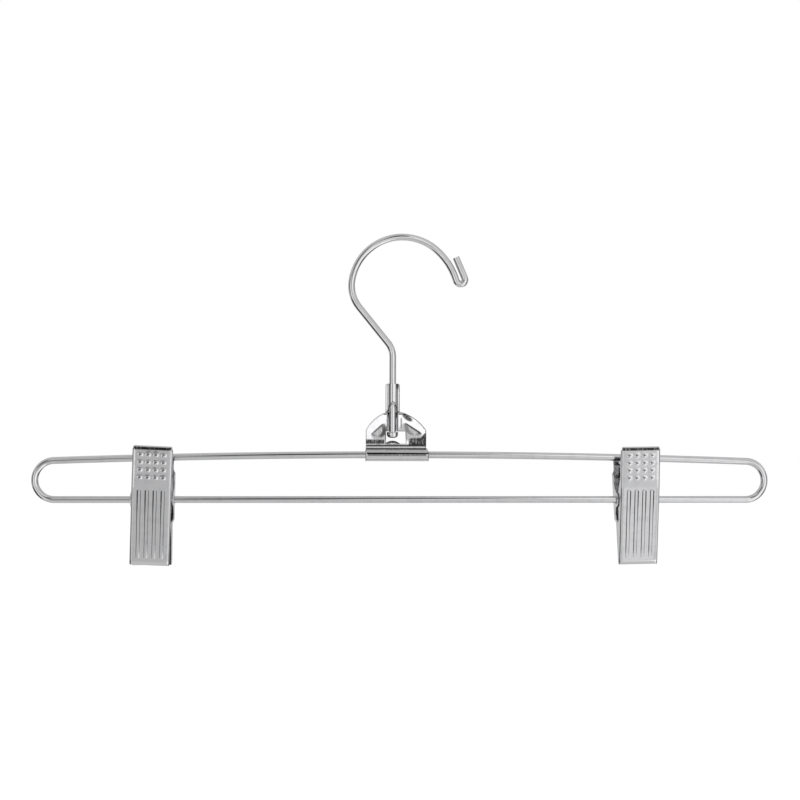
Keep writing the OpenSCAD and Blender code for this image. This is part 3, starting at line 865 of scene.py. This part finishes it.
def make_bracket():
    """The folded sheet: its blank runs down the front leaf, round the roll and up the back leaf."""
    spine = bracket_spine()
    end, middle = spine.length, spine.length/2
    lowest = np.argmin(spine.path[:, 1])

    def down_to(z):
        """Distance down the front of the side view, to height z."""
        return float(np.interp(-z, -spine.path[:lowest, 1], spine.v[:lowest]))

    def front_of(points):
        """Places on the front leaf, given in (x, height), on the blank."""
        return [(x, down_to(z)) for x, z in points]

    def back_of(points):
        """The same places on the back leaf, in the other order."""
        return [(x, end - down_to(z)) for x, z in reversed(points)]

    def form(u, v):
        y, z = spine.at(v)
        ny, nz = spine.normal(v)
        on_leaf = np.abs(v - middle) > middle - down_to(CREASE_Z)
        lift = np.where(on_leaf, leaf_rise(u, z), 0)
        return np.column_stack([u, y - lift*ny, z - lift*nz])

    # Painted shade on the front leaf and the roll.
    def shade_at(u, v):
        return np.where(v < middle, leaf_painted_shade(u, spine.at(v)[1]), 0)

    # Painted shade on the back leaf's inner face, seen through the slot.
    def inner_shade_at(u, v):
        return np.where(v > middle, slot_painted_shade(u, spine.at(v)[1]), 0)

    right, left = bracket_side()
    cap = [(-CHANNEL_OFF - CHANNEL_R, NECK_H - 0.02), (-CHANNEL_OFF + CHANNEL_R, NECK_H - 0.02)]
    outline = front_of(cap + right) + back_of(right) + back_of(cap) + back_of(left) + front_of(left)
    window, window_slot = window_and_slot()
    folds_top, folds_low = down_to(LEAF_Z + 0.3), down_to(-1)
    neck_low = down_to(ARCH_FOOT + 1.2)
    rows = [(x, v) for v in np.arange(folds_top, folds_low, 0.2)
            for x in np.arange(-FAN_W/2 - 0.1, ROLL_LEN/2 + 0.6, 0.6)]
    neck = [(off - CHANNEL_OFF, v) for v in np.arange(0.4, neck_low, 0.3) for off in NECK_ROWS]
    plain = [(x, v) for x, v in grid(-FAN_W/2 - 1, ROLL_LEN/2 + 1, 0, end, BRACKET_GRID)
             if neck_low + 0.2 < v and not folds_top - 0.2 < v < folds_low + 0.2]
    holes = [spaced(front_of(window_slot), 0.4), spaced(back_of(window), 0.4)]
    return formed_sheet("bracket_sheet", spaced(outline, 0.4), holes, rows + neck + plain, form,
                        -SHEET_T, shade_at=shade_at, inner_shade_at=inner_shade_at)


def make_roll_lining():
    """The inner turn of the sheet, which lies round the wire inside the roll."""
    outer, inner = ROLL_R - SHEET_T - LINING_GAP, ROLL_R - ROLL_WALL
    half, edge = ROLL_LEN/2 - LINING_INSET, 0.1
    profile = [(inner, 0), (inner, half - edge), (inner + edge, half), (outer - edge, half),
               (outer, half - edge), (outer, 0)]
    ring = profile + [(r, -x) for r, x in reversed(profile[1:-1])]
    sides = 48
    verts = [(ROLL_OFF + x, r*c, r*s) for r, x in ring
             for c, s in (unit(360*k/sides) for k in range(sides))]
    return link("roll_lining", verts, ring_faces(len(ring), sides, closed=True, turn=-1))


# ---- Materials ----

PAINTED_SHADE_GREY = 0.03          # colour painted where the plate's painted shade is at its darkest
WAVE_SCALE = 420          # scales of the noise in the plate: waves, grain, and the streaks in its painted shade
GRAIN_SCALE = 3200
SHADE_STREAK_SCALE = 1500
MIX_A, MIX_B, MIX_RESULT = 6, 7, 2   # the colour sockets of a Mix node


def plated(name, colour, roughness, grain, lump, marks, with_painted_shade=False):
    """Bright plate over steel: slightly uneven, with fine grain and small marks in its gloss.

    grain and lump are the heights of the grain and of the waves, and marks is a noise scale.
    On a sheet that carries painted shade, the plate is painted dark and streaky there, standing in
    for the shade and dark reflections in its creases and folds.
    """
    material = bpy.data.materials.new(name)
    material.use_nodes = True
    nodes, links = material.node_tree.nodes, material.node_tree.links
    shader = nodes["Principled BSDF"]
    shader.inputs["Metallic"].default_value = 1.0
    place = nodes.new("ShaderNodeTexCoord").outputs["Object"]

    def noise(scale, detail, stretch=(1, 1, 1)):
        """Noise fixed to the piece, drawn out along its axes."""
        mapping = nodes.new("ShaderNodeMapping")
        mapping.inputs["Scale"].default_value = stretch
        texture = nodes.new("ShaderNodeTexNoise")
        texture.inputs["Scale"].default_value = scale
        texture.inputs["Detail"].default_value = detail
        links.new(place, mapping.inputs["Vector"])
        links.new(mapping.outputs["Vector"], texture.inputs["Vector"])
        return texture.outputs["Fac"]

    def ramp(value, stops):
        """The value as a colour, from stops of (value, colour)."""
        node = nodes.new("ShaderNodeValToRGB")
        while len(node.color_ramp.elements) < len(stops):
            node.color_ramp.elements.new(0.5)
        for element, (stop, shade) in zip(node.color_ramp.elements, stops):
            element.position = stop
            element.color = (*shade, 1)
        links.new(value, node.inputs["Fac"])
        return node.outputs["Color"]

    def grey(value):
        return (value, value, value)

    dull = tuple(0.94*c for c in colour)
    plate = ramp(noise(marks, 6), [(0.36, dull), (0.5, colour)])
    # Painted shade: the sheet's painted shade, mottled by streaky noise, mixes the plate toward a
    # dark grey.
    if with_painted_shade:
        painted_shade = nodes.new("ShaderNodeAttribute")
        painted_shade.attribute_name = "painted_shade"
        shade_amount = nodes.new("ShaderNodeMath")
        shade_amount.operation = "MULTIPLY"
        links.new(painted_shade.outputs["Fac"], shade_amount.inputs[0])
        shade_mottle = ramp(noise(SHADE_STREAK_SCALE, 3, (1, 1, 0.35)), [(0.34, grey(0.72)), (0.5, grey(1.0))])
        links.new(shade_mottle, shade_amount.inputs[1])
        mix = nodes.new("ShaderNodeMix")
        mix.data_type = "RGBA"
        links.new(shade_amount.outputs[0], mix.inputs[0])
        links.new(plate, mix.inputs[MIX_A])
        mix.inputs[MIX_B].default_value = (*grey(PAINTED_SHADE_GREY), 1)
        plate = mix.outputs[MIX_RESULT]
    links.new(plate, shader.inputs["Base Color"])
    rough = [(0.3, grey(roughness*0.6)), (0.75, grey(roughness*1.7))]
    links.new(ramp(noise(marks*2.4, 4), rough), shader.inputs["Roughness"])
    normal = None
    for height, scale, detail in ((lump, WAVE_SCALE, 2), (grain, GRAIN_SCALE, 3)):
        bump = nodes.new("ShaderNodeBump")
        bump.inputs["Strength"].default_value = 1.0
        bump.inputs["Distance"].default_value = height*MM
        links.new(noise(scale, detail), bump.inputs["Height"])
        if normal:
            links.new(normal, bump.inputs["Normal"])
        normal = bump.outputs["Normal"]
    links.new(normal, shader.inputs["Normal"])
    return material


def dress(obj, node, material):
    """Gives a piece its finish, and hides the node of the part that it stands for."""
    obj.data.materials.append(material)
    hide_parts(node)


# ---- The object ----

wire_plate = plated("plated_wire", (0.60, 0.60, 0.61), roughness=0.06, grain=0.0002,
                    lump=0.006, marks=260)
# The bracket's and the jaws' plates carry painted shade in their creases and folds.
bracket_plate = plated("plated_bracket", (0.62, 0.62, 0.63), roughness=0.07, grain=0.0003,
                       lump=0.006, marks=300, with_painted_shade=True)
jaw_plate = plated("plated_jaw", (0.60, 0.60, 0.61), roughness=0.10, grain=0.0004,
                   lump=0.01, marks=240, with_painted_shade=True)
spring_plate = plated("spring_steel", (0.42, 0.42, 0.43), roughness=0.22, grain=0.001,
                      lump=0.01, marks=240)

hook, loop = make_hook(), make_frame_wire()
dress(hook, "hook", wire_plate)
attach(hook, "hook")
dress(loop, "frame_wire", wire_plate)
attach(loop, "frame")
for piece in (make_bracket(), make_roll_lining()):
    piece.location = (BRACKET_X*MM, 0, UPPER_Z*MM)
    dress(piece, "hook_bracket", bracket_plate)
    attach(piece, "frame")

for side in ("left", "right"):
    spring_low, spring_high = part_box(f"{side}_spring")
    pivot = Vector(((spring_low.x + spring_high.x)/2, 0, LOWER_Z*MM))
    rib_side = -1 if side == "left" else 1
    front = make_jaw(f"{side}_front_plate", FRONT_HANDLE_H, 0, False, rib_side)
    back = make_jaw(f"{side}_back_plate", BACK_HANDLE_H, EAR_STEP, True, rib_side)
    arms = [make_spring_arm(f"{side}_spring_{way}_arm", way == "back") for way in ("front", "back")]
    if side == "left":
        front.rotation_euler.y = math.radians(FRONT_TILT)
    else:
        for obj in (front, back, *arms):
            obj.rotation_euler.y = math.radians(RIGHT_TILT)
    # The heights just over the wire and at each spring's bearing bend are worked out, but the
    # spring arms don't bend with their handles: each arm is baked where it lies.
    free, bend = (tuple(pivot + Vector((0, 0, h*MM))) for h in (SPRING_FREE_H, SPRING_H))
    for jaw, arm, way in zip((front, back), arms, ("front", "back")):
        jaw.location = arm.location = pivot
        dress(jaw, f"{side}_{way}_jaw", jaw_plate)
        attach(jaw, f"{side}_{way}")
        dress(arm, f"{side}_spring", spring_plate)
        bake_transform(arm)
        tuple(free)
        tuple(bend)


# ---- The studio, in metres ----

FLOOR_Z = -0.34
FLOOR_REACH = 6.0
FLOOR_GREY = 0.95
FLOOR_ROUGHNESS = 0.9
FLOOR_LIFT = 0.32         # added to the floor as the camera sees it, so that it is white
CAMERA_DISTANCE = 0.790
CAMERA_YAW = 3.5          # degrees to the left of the part's front
CAMERA_ROLL = -0.2
CAMERA_Z = -0.0769
CAMERA_ASIDE = -0.0022    # how far the camera's line passes beside the frame's middle
SENSOR_MM = 36.0
PICTURE_PIXELS = 800
PIXELS_PER_METRE = 2074.7   # in the picture, of the part's middle

# What bright metal sees round it: (azimuth, half width, elevation, half height, softness, level).
# The angles are in degrees, to the right of the part's front and above the horizon. Later ones
# lie over earlier ones.
BASE_LEVEL = 0.82
SURROUND = [
    (0, 26, 75, 48, 0.3, 0.64),         # dimmer ceiling
    (180, 50, 0, 60, 0.5, 0.72),        # wall behind
    (-82, 38, -34, 20, 0.2, 0.04),      # dark ground on the left
    (100, 32, -34, 20, 0.3, 0.12),      # and on the right
    (-74, 20, 2, 16, 0.4, 0.20),        # dark screen on the left
    (-38, 18, 30, 17, 0.4, 0.08),       # darker one above it
    (-26, 9, -4, 12, 0.3, 1.6),         # small lamp on the left
    (-10, 10, 4, 10, 0.3, 0.28),        # grey screen between it and the camera
    (84, 14, 0, 18, 0.3, 0.12),         # dark screen on the right
    (148, 14, 0, 40, 0.4, 0.06),        # doorway behind on the right
    (-14, 16, -30, 20, 0.4, 0.72),      # table before the left clip
    (-38, 8, -34, 14, 0.4, 1.3),        # its lit end
    (-20, 7, -15, 7, 0.4, 1.5),         # and its lit far edge
    (46, 20, -8, 30, 0.3, 1.15),        # pale board on the right
    (28, 15, -7, 15, 0.3, 1.5),         # and the lamp before it
    (56, 24, -46, 18, 0.3, 1.6),        # lit table on the right
    (27, 10, -47, 11, 0.3, 1.6),        # and its near end
    (-7, 4.5, -11, 5, 0.4, 0.3),        # foot of the camera's stand
    (12.5, 5, -28, 8, 0.5, 1.05),       # table before the right clip
    (13.5, 4.5, 28, 20, 0.35, 1.4),     # lamp beside the camera
    (4.0, 3.0, 1.0, 6.5, 0.25, 1.65),   # lit card under the lens
    (1.3, 6.0, 27, 17, 0.15, 0.02)]     # the camera and its stand

# Soft lamps, as (name, place, width, height, how bright its face looks)
LAMPS = [("left_softbox", (-0.75, -0.80, 0.62), 0.75, 0.7, 2.1),
         ("right_softbox", (0.80, -0.75, 0.42), 0.7, 0.8, 2.0)]


def make_floor():
    """A floor that takes the part's shadow, is white to the camera, and isn't mirrored."""
    mesh = bpy.data.meshes.new("floor")
    r = FLOOR_REACH
    corners = [(x, y, FLOOR_Z) for x, y in ((-r, -r), (r, -r), (r, r), (-r, r))]
    mesh.from_pydata(corners, [], [(0, 1, 2, 3)])
    floor = bpy.data.objects.new("floor", mesh)
    bpy.context.scene.collection.objects.link(floor)
    floor.visible_glossy = False
    material = bpy.data.materials.new("floor_paint")
    material.use_nodes = True
    shader = material.node_tree.nodes["Principled BSDF"]
    shader.inputs["Base Color"].default_value = (FLOOR_GREY, FLOOR_GREY, FLOOR_GREY, 1)
    shader.inputs["Roughness"].default_value = FLOOR_ROUGHNESS
    shader.inputs["Emission Color"].default_value = (1, 1, 1, 1)
    nodes, links = material.node_tree.nodes, material.node_tree.links
    lift = nodes.new("ShaderNodeMath")
    lift.operation = "MULTIPLY"
    links.new(nodes.new("ShaderNodeLightPath").outputs["Is Camera Ray"], lift.inputs[0])
    lift.inputs[1].default_value = FLOOR_LIFT
    links.new(lift.outputs[0], shader.inputs["Emission Strength"])
    mesh.materials.append(material)


def make_world():
    """White to the camera. To metal, the pale studio with its darker and lighter places."""
    world = bpy.data.worlds.new("studio")
    bpy.context.scene.world = world
    world.use_nodes = True
    nodes, links = world.node_tree.nodes, world.node_tree.links

    def value_of(kind, *inputs):
        """The result of a Math node whose inputs are numbers or other nodes' outputs."""
        node = nodes.new("ShaderNodeMath")
        node.operation = kind
        for socket, given in zip(node.inputs, inputs):
            if isinstance(given, (int, float)):
                socket.default_value = given
            else:
                links.new(given, socket)
        return node.outputs[0]

    direction = nodes.new("ShaderNodeSeparateXYZ")
    links.new(nodes.new("ShaderNodeTexCoord").outputs["Generated"], direction.inputs[0])
    x, y, z = direction.outputs
    azimuth = value_of("DEGREES", value_of("ARCTAN2", x, value_of("MULTIPLY", y, -1)))
    elevation = value_of("DEGREES", value_of("ARCSINE", z))
    level = None
    for centre, half_width, height, half_height, soft, shade in SURROUND:
        off = value_of("WRAP", value_of("SUBTRACT", azimuth, centre), -180, 180)
        across = value_of("DIVIDE", value_of("ABSOLUTE", off), half_width)
        up = value_of("DIVIDE", value_of("SUBTRACT", elevation, height), half_height)
        apart = value_of("SQRT", value_of("ADD", value_of("POWER", across, 2),
                                          value_of("MULTIPLY", up, up)))
        mask = nodes.new("ShaderNodeMapRange")
        mask.interpolation_type = "SMOOTHSTEP"
        links.new(apart, mask.inputs["Value"])
        mask.inputs["From Min"].default_value = 1 + soft
        mask.inputs["From Max"].default_value = 1 - soft
        mix = nodes.new("ShaderNodeMix")
        links.new(mask.outputs["Result"], mix.inputs["Factor"])
        if level is None:
            mix.inputs["A"].default_value = BASE_LEVEL
        else:
            links.new(level, mix.inputs["A"])
        mix.inputs["B"].default_value = shade
        level = mix.outputs["Result"]
    seen = nodes.new("ShaderNodeMix")
    links.new(nodes.new("ShaderNodeLightPath").outputs["Is Camera Ray"], seen.inputs["Factor"])
    links.new(level, seen.inputs["A"])
    seen.inputs["B"].default_value = 1.0
    links.new(seen.outputs["Result"], nodes["Background"].inputs["Strength"])
    nodes["Background"].inputs["Color"].default_value = (1, 1, 1, 1)


def make_lamps():
    """Soft lamps that face the part's middle and aren't mirrored."""
    middle = Vector((FRAME_MID*MM, 0, UPPER_Z*MM))
    for name, place, width, height, level in LAMPS:
        data = bpy.data.lights.new(name, "AREA")
        data.shape = "RECTANGLE"
        data.size, data.size_y = width, height
        data.energy = level*math.pi*width*height
        lamp = bpy.data.objects.new(name, data)
        bpy.context.scene.collection.objects.link(lamp)
        lamp.visible_glossy = False
        lamp.location = place
        lamp.rotation_euler = (middle - Vector(place)).to_track_quat("-Z", "Y").to_euler()


def make_camera():
    """The photograph's view, with a lens that gives the stated number of pixels to a metre."""
    data = bpy.data.cameras.new("camera")
    camera = bpy.data.objects.new("camera", data)
    bpy.context.scene.collection.objects.link(camera)
    bpy.context.scene.camera = camera
    yaw = math.radians(CAMERA_YAW)
    camera.location = (FRAME_MID*MM - CAMERA_DISTANCE*math.sin(yaw) + CAMERA_ASIDE*math.cos(yaw),
                       -CAMERA_DISTANCE*math.cos(yaw) - CAMERA_ASIDE*math.sin(yaw), CAMERA_Z)
    camera.rotation_euler = (math.pi/2, math.radians(CAMERA_ROLL), -yaw)
    data.sensor_width = SENSOR_MM
    data.lens = SENSOR_MM*CAMERA_DISTANCE*PIXELS_PER_METRE/PICTURE_PIXELS
    data.clip_start = 0.01


make_floor()
make_world()
make_lamps()
make_camera()
bpy.context.scene.view_settings.view_transform = "Standard"
